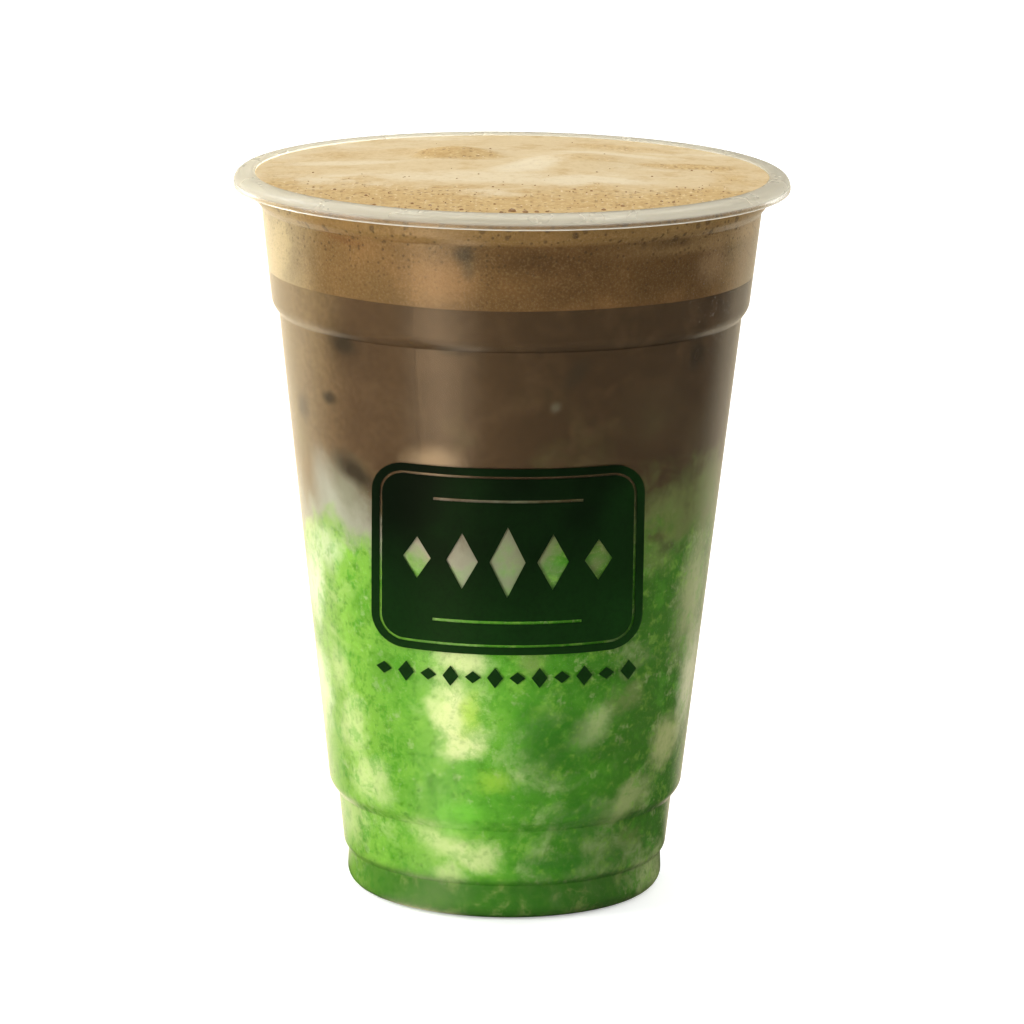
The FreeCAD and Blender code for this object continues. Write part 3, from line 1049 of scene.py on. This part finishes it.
# %% Clouds in the green milk
GREEN_SPOTS = (
    (-30.5, 63, 6, 6.5, 0, 0.6, "DDE2C4"),
    (-28.2, 41, 3.6, 6, 0, 0.5, MILK),
    (-24, 55, 4, 5, 0, 0.5, "4C9020"),
    (3, 32.5, 7.5, 7, 0, 0.55, "3F9616"),
    (-33, 55, 5.5, 13, 12, 0.75, "EAECD6"),
    (-31.5, 37, 5.5, 11, -6, 0.75, "EAECD6"),
    (-31.5, 33, 4.5, 15, 6, 0.8, MILK),
    (-26, 32, 4.5, 9, 10, 0.6, MILK),
    (-23, 22.5, 7, 6.6, 0, 0.62, MILK),
    (-25.5, 14, 5, 9, 10, 0.5, MILK),
    (-8.5, 37, 14, 14, 15, 0.5, MILK_GREEN),
    (-9.9, 38.5, 4.6, 8.5, -6, 0.95, MILK),
    (-8.8, 33, 4.6, 6, 0, 0.9, MILK),
    (-5.8, 33, 4.4, 5.4, 25, 0.9, MILK),
    (-6.4, 37, 3.2, 5.4, 10, 0.6, "BDD85E"),
    (-7, 46.8, 7, 4.4, 0, 0.8, MILK),
    (4.2, 46.8, 4.5, 3.8, 0, 0.6, MILK_DULL),
    (-11, 13, 16, 7, 15, 0.75, MILK_GREEN),
    (-10, 13.6, 10, 4.4, 24, 0.6, MILK),
    (-4.6, 11.2, 7, 4.2, 10, 0.6, MILK),
    (-9.2, 7.9, 5, 2.6, 0, 0.5, MILK),
    (-2.2, 25.6, 6, 3.6, 0, 0.6, "A2CC48"),
    (5.8, 38, 3.2, 1.7, -30, 0.8, MILK_GREEN),
    (14.6, 35.2, 7.6, 3.7, -52, 0.85, "BACB90"),
    (20.5, 39, 5, 5, 0, 0.5, "94A068"),
    (27.4, 29.5, 8, 6, -55, 0.85, "C6CA94"),
    (31.2, 39, 5, 14, 8, 0.85, "E2E4C4"),
    (20.5, 20.4, 11, 4, -24, 0.8, "B6C288"),
    (31, 54, 7, 18, 6, 0.8, "B2B88C"),
    (24, 57, 6, 6, 0, 0.5, GREEN_DEEP),
    (25.5, 65, 9, 8, 0, 0.65, "7F9452"),
    (8.5, 32, 10, 10, 0, 0.8, "1F6808"),
    (17, 11.5, 20, 6, 0, 0.25, "336B20"),
    (21.5, 13.5, 4, 3, 0, 0.4, MILK_DULL),
    (24.8, 68, 2.2, 4, -24, 0.75, "3E3A26"),
    (27.4, 64.6, 4.6, 2, 12, 0.7, "3E3A26"),
    (-20.5, 43.5, 3.6, 6, 0, 0.5, "4A8A22"),
    (-8, 18.8, 6, 4.6, 0, 0.5, "7ED63E"),
    (13, 18, 9, 6.5, 0, 0.75, "1C7404"),
    (8.5, 10.2, 10, 3.4, 0, 0.85, "1C7404"),
    (5, 36.5, 4.5, 5, 0, 0.6, "1C7404"),
    (16.8, 30.2, 5, 3.6, -30, 0.6, "2A6A0E"),
)
print(len(GREEN_SPOTS), "patches in the green milk")


# %% Green milk's recipe
def mottled_green(place, across, up):
    swayed = add("SeparateXYZ", Vector=unsteady(place, 60, 7)).outputs[0]
    # painted light in part: the run from pale yellow-green on the left to deep green on the right is
    # partly the milk's own colour and partly light falling from the left
    colour = mix(rise(swayed, -0.03, -0.006), GREEN_LEFT, GREEN_BRIGHT)
    colour = lay(colour, swayed, -0.004, 0.011, 0.85, GREEN_MID)
    colour = lay(colour, swayed, 0.008, 0.026, 0.75, GREEN_DEEP)
    swirls = noise(unsteady(place, 50, 8), 48, 6.0, 0.62)
    colour = lay(colour, swirls, 0.52, 0.73, 0.65, MILK)
    clumps = noise(unsteady(place, 260, 1.2), 240, 7.0, 0.75)
    colour = lay(colour, clumps, 0.52, 0.66, 0.5, MILK_GREEN)
    colour = lay(colour, clumps, 0.49, 0.36, 0.65, GREEN_MID)
    flecks = noise(place, 620, 5.0, 0.6)
    colour = lay(colour, flecks, 0.5, 0.72, 0.45, GREEN_DEEP)
    colour = add_spots(place, colour, GREEN_SPOTS, 2.6, 0.9)
    colour = lay(colour, clumps, 0.5, 0.36, 0.45, GREEN_BRIGHT)
    colour = lay(colour, flecks, 0.52, 0.74, 0.3, GREEN_MID)
    colour = lay(colour, flecks, 0.46, 0.3, 0.35, MILK_GREEN)
    # darker, duller green towards the bottom, less so towards the left and right
    foot = rise(up, 0.0085, 0.0055)
    sides = calc("ABSOLUTE", calc("ADD", across, 0.0015))
    foot = times(foot, rise(sides, 0.018, 0.026, 0.8, 0.1))
    foot_mottle = noise(unsteady(place, 300, 2), 260, 6.0, 0.7)
    low = mix(rise(foot_mottle, 0.5, 0.7, 0.0, 0.6), "276414", MILK_DULL)
    return mix(foot, colour, low)


# %% One recipe for both layers
def drink(piece, name, tint):
    """Both layers share one recipe, and the height decides which colour shows."""
    shader, place, (across, _, up) = start_finish(name, piece)
    tea_colour = add_spots(place, cloudy_tea(place, across, up), TEA_SPOTS, 0.8, 0.4)
    green_colour = mottled_green(place, across, up)
    wander = noise(unsteady(place, 120, 4), 70, 5.0, 0.6)
    level = calc("MULTIPLY_ADD", calc("SUBTRACT", wander, 0.5), 0.030, up)
    level = calc("SUBTRACT", level, rise(across, 0.012, 0.026, 0.0, 0.004))
    milky = rise(level, 0.0765, 0.065)
    meet = mix(rise(across, -0.015, 0.02), MEET_PALE, MEET_DULL)
    colour = mix(times(milky, 0.8), tea_colour, meet)
    colour = mix(rise(level, 0.0675, 0.0595), colour, green_colour)
    join(colour, shader.inputs["Base Color"])
    set_up(shader, Roughness=0.25, Specular_IOR_Level=0.3, Specular_Tint=paint(tint))


drink(tea, "milky_tea", "FFD2A0")
drink(green, "green_milk", "D8F0A0")
tell(tea)
tell(green)

# %% [markdown]
# ## Milk foam
#
# The foam is tan from the tea, with paler streaks where it was poured and a fine crust between
# them. Toward the front and in a few worn places bubbles lie bare: Voronoi cells give round pits
# of uneven size, used as bump and as dark dots of painted shade in their hollows, and a few bright
# ones are painted highlights, wet sparks on the bubbles.
# Against the wall the foam is wetter and darker, and larger bubbles gather right under the rim.

# %% Colours and places on the foam
FOAM_TOP, FOAM_STREAK, FOAM_DARK, FOAM_PIT_SHADE = "C4AF87", "D3C6A8", "B5955C", "6B4F30"
SIDE_LEFT, SIDE_RIGHT, SIDE_WARM, SIDE_DARK, SIDE_DOT = "755B37", "644A2B", "AA8052", "432F1B", "3B3023"
TOP_STREAKS = (  # across, back, half length, half width, turn, strength
    (-29, -13, 20, 5, -35, 0.6),
    (-8, -23, 16, 4, -14, 0.6),
    (13, -11, 15, 6, 4, 0.65),
    (3, 5, 16, 6, 62, 0.8),
    (-6, -9, 22, 8, -8, 0.5),
    (-30, 8, 16, 4, 10, 0.5),
    (18, 20, 16, 4, -22, 0.5),
)
TOP_WORN = (  # the same, for the places where bubbles lie bare
    (-10, 16.5, 12, 9, 0, 0.95),
    (13, 11, 13, 6, 0, 0.45),
    (29, 8, 12, 4, -6, 0.75),
    (-25, 20, 15, 8, 20, 0.4),
    (20, 29, 18, 6, -20, 0.5),
)
FOAM_SIDE_SPOTS = (
    # the first patch is painted light: a warm glow where the band of light down the front crosses the
    # foam
    (-12, 112.4, 10, 6.5, 0, 0.45, SIDE_WARM),
    (-7.7, 117.4, 3, 2.8, 0, 0.9, "2A261C"),
    (-7.2, 114.9, 1.8, 2.8, 0, 0.5, "4A4232"),
    (5, 116.2, 15, 4, 5, 0.65, SIDE_DARK),
    (9, 111.5, 10, 3, -4, 0.3, SIDE_DARK),
    (27, 118.6, 8, 1.8, 4, 0.55, SIDE_DARK),
    (-27.5, 118.4, 6, 1.2, 10, 0.6, "7A5530"),
    (33.5, 114, 5.5, 6, 0, 0.45, "A88C6C"),
)
print(len(TOP_STREAKS), "streaks,", len(TOP_WORN), "worn places,", len(FOAM_SIDE_SPOTS), "on the side")


# %% The foam's bare top
def gather(place, spots):
    """One mask from several long soft spots on the top."""
    total = 0.0
    for across, back, long, wide, turn, strength in spots:
        mask = patch(place, (across, back, CUP_HEIGHT), (long, wide, 30), 0, turn)
        total = calc("MAXIMUM", rise(mask, 0.02, 0.6, 0.0, strength), total)
    return total


def bare_top(place, across, back):
    """Colour and pits of the foam's bare top."""
    loose = unsteady(place, 60, 4)
    flow = unsteady(stretched(place, 0.5, 1.1, 0.3), 30, 14)
    sweeps = noise(flow, 75, 5.0, 0.55)
    pale = calc("MAXIMUM", gather(loose, TOP_STREAKS), rise(sweeps, 0.5, 0.72, 0.0, 0.6))
    colour = mix(pale, FOAM_TOP, FOAM_STREAK)
    worn = noise(unsteady(place, 60, 6), 70, 6.0, 0.65)
    side = calc("ABSOLUTE", across)
    nearness = calc("SUBTRACT", times(side, 0.35), back)
    front = rise(calc("MULTIPLY_ADD", worn, 0.045, nearness), 0.03, 0.062)
    bubbly = calc("MAXIMUM", gather(loose, TOP_WORN), front)
    frayed = calc("MULTIPLY_ADD", calc("SUBTRACT", worn, 0.5), 1.2, bubbly)
    bubbly = rise(frayed, 0.05, 0.95)
    colour = mix(times(bubbly, 0.8), colour, FOAM_DARK)
    crust = noise(unsteady(place, 150, 1.5), 190, 6.0, 0.7)
    plain = calc("SUBTRACT", 1.0, pale)
    crusty = times(rise(crust, 0.48, 0.68, 0.0, 0.5), plain)
    colour = mix(crusty, colour, "A88750")
    froth = stretched(place, 1, 0.75, 1)
    lumps = noise(froth, 1000, 5.0, 0.7)
    grain = calc("MULTIPLY_ADD", bubbly, 0.35, 0.2)
    colour = mix(times(rise(lumps, 0.5, 0.3), grain), colour, "94713E")
    colour = mix(times(rise(lumps, 0.52, 0.72), grain), colour, "E2CFA2")
    # painted shade: the pits are also dark dots, as shade in the open bubbles' hollows
    pits = times(dots(froth, 850, 0.36, 0.45), rise(bubbly, 0.1, 0.9))
    colour = mix(times(pits, 0.45), colour, FOAM_PIT_SHADE)
    # painted highlights: a few bright dots stand for wet sparks on the bubbles
    painted_glints = times(dots(froth, 1200, 0.26, 0.78), rise(bubbly, 0.1, 0.9))
    colour = mix(times(painted_glints, 0.42), colour, "FBF3DC")
    swell = times(lumps, rise(bubbly, 0.0, 1.0, 0.25, 1.0))
    return colour, calc("SUBTRACT", swell, pits)


# %% The foam against the wall
def wet_side(place, across, back, up):
    """Colour of the foam where it wets the wall."""
    soft = noise(unsteady(place, 70, 4), 60, 5.0, 0.6)
    # painted light and shade: paler on the left than on the right, and paler again at both edges, where
    # light grazes them
    colour = mix(rise(across, -0.03, 0.01), SIDE_LEFT, SIDE_RIGHT)
    colour = lay(colour, across, -0.030, -0.041, 0.8, "C6B68C")
    colour = lay(colour, across, 0.031, 0.041, 0.7, "A38D66")
    # painted light: lighter high on the right, just under the rim
    lit_upper_right = times(rise(up, 0.1155, 0.1175), rise(across, 0.012, 0.034))
    colour = mix(times(lit_upper_right, 0.5), colour, "B8996C")
    colour = lay(colour, soft, 0.45, 0.75, 0.35, SIDE_WARM)
    colour = lay(colour, soft, 0.5, 0.3, 0.35, SIDE_DARK)
    colour = add_spots(place, colour, FOAM_SIDE_SPOTS, 0.9, 0.4)
    colour = lay(colour, up, 0.1188, 0.1198, 0.55, "8F7348")
    grain = noise(place, 2300, 3.0, 0.7)
    colour = lay(colour, grain, 0.5, 0.32, 0.3, SIDE_DARK)
    colour = lay(colour, grain, 0.5, 0.7, 0.14, "C9AE7C")
    rising = rise(up, 0.1170, 0.1195)
    sheet = unrolled(across, back, up)
    big = times(dots(sheet, 480, 0.38, 0.2), rising)
    colour = mix(times(big, 0.55), colour, SIDE_DOT)
    small = dots(sheet, 1050, 0.34, 0.5)
    small = times(small, rise(up, 0.108, 0.119, 0.15, 0.6))
    return mix(small, colour, SIDE_DOT)


# %% The foam's finish
def foam_finish(piece):
    shader, place, (across, back, up) = start_finish("milk_foam", piece)
    top, height = bare_top(place, across, back)
    side = wet_side(place, across, back, up)
    # the side turns into the top over the rounded brim
    shown = rise(up, 0.1239, 0.12435)
    join(mix(shown, side, top), shader.inputs["Base Color"])
    join(rise(shown, 0.0, 1.0, 0.42, 0.6), shader.inputs["Roughness"])
    set_up(shader, IOR=1.4, Specular_IOR_Level=0.35, Specular_Tint=paint("FFD9A8"))
    bump(shader, times(height, shown), 0.6, 0.3)


foam_finish(foam)
tell(foam)

# %% [markdown]
# ## Bubble film and ink
#
# A bubble is a wet film, so it lets a third of the light through and is tinted like the foam. The
# ink is a dark green coat that lets a breath of the drink through.


# %% Bubble film and ink
def bubble_film(piece):
    shader, place, _ = start_finish("bubble_film", piece)
    set_up(shader, Roughness=0.06, IOR=1.45, Transmission_Weight=0.35)
    tint = noise(place, 400, 1.0)
    join(mix(tint, "B08A5A", "7C5C38"), shader.inputs["Base Color"])
    let_lamps_through(shader, (0.8, 0.7, 0.55, 1))


def green_ink(piece):
    shader, place, (_, _, up) = start_finish("dark_green_ink", piece)
    set_up(shader, Roughness=0.4, Alpha=0.97, Specular_IOR_Level=0.08)
    body = noise(place, 45, 3.0)
    colour = mix(rise(body, 0.3, 0.7), "061404", "0E2E09")
    lower = rise(up, 0.074, 0.050)
    colour = mix(times(lower, 0.5), colour, "15420D")
    grain = noise(place, 1500, 2.0)
    colour = lay(colour, grain, 0.4, 0.7, 0.2, "071405")
    join(colour, shader.inputs["Base Color"])


bubble_film(bubbles)
green_ink(panel)
tell(bubbles)
tell(panel)

# %% [markdown]
# ## Floor and backdrop
#
# Both are plain white where they are seen, and dimmer where they only light other things, as a
# studio's white is when it is lit apart from the cup.


# %% Floor and backdrop
def seen_plainly(tree):
    """1 for what is seen directly or through clear plastic, 0 for what only lights other things."""
    path = add("LightPath", tree=tree).outputs
    direct = calc("MAXIMUM", path["Is Camera Ray"], path["Is Transmission Ray"])
    return times(direct, calc("LESS_THAN", path["Diffuse Depth"], 0.5))


def floor_finish(piece):
    shader, place, _ = start_finish("white_floor", piece)
    grain = noise(place, 30, 3.0)
    join(mix(grain, "FAFAF9", "F6F6F5"), shader.inputs["Base Color"])
    set_up(shader, Roughness=0.7, Specular_IOR_Level=0.2, Emission_Color=(1, 1, 1, 1))
    reach = add("VectorMath", {"operation": "LENGTH"}, Vector=place).outputs["Value"]
    # far from the lamps the floor needs more of its own white to meet the backdrop
    white = rise(reach, 0.4, 2.0, 0.4, 0.7)
    join(times(seen_plainly(shader.id_data), white), shader.inputs["Emission Strength"])


def backdrop_finish(tree):
    """Dim as a light, white where it is seen."""
    strength = calc("MULTIPLY_ADD", seen_plainly(tree), 1 - AMBIENT, AMBIENT)
    join(strength, tree.nodes["Background"].inputs["Strength"])


floor_finish(floor)
backdrop_finish(world.node_tree)
tell(floor)

# %% [markdown]
# ## The cards' glow
#
# The sheet of cards glows by its bearing round the cup: three wedges, each with soft ends.


# %% The cards' glow
def wedge(bearing, middle, half, soft):
    """1 within half a width of the middle bearing, in degrees, falling softly to 0."""
    off = calc("ABSOLUTE", calc("SUBTRACT", bearing, middle))
    return rise(off, half + soft, half - soft)


def reflector_finish(piece):
    """Bearings run from 0 at the camera's side, negative to the left, to 180 behind."""
    _, _, (across, back, _) = start_finish("reflector", piece)
    bearing = calc("DEGREES", calc("ARCTAN2", across, times(back, -1.0)))
    strip = times(wedge(bearing, -33, 12, 13), 1.6)
    left = times(wedge(bearing, -155, 45, 20), 1.2)
    right = times(wedge(bearing, 155, 32, 15), 0.6)
    total = calc("ADD", calc("ADD", strip, left), calc("ADD", right, 0.06))
    tint = mix(calc("MINIMUM", strip, 1.0), "FFEFD0", "FFE8C8")
    show(add("Emission", Color=tint, Strength=total))


reflector_finish(cards)
tell(cards)

# %% [markdown]
# ## Boxes
#
# The boxes of the CAD model and of the finished pieces are printed side by side.

# %% Finish
boxes = {"cad": cad_box, "visual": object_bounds()}
boxes = {name: [list(map(float, corner)) for corner in box] for name, box in boxes.items()}
print(boxes)
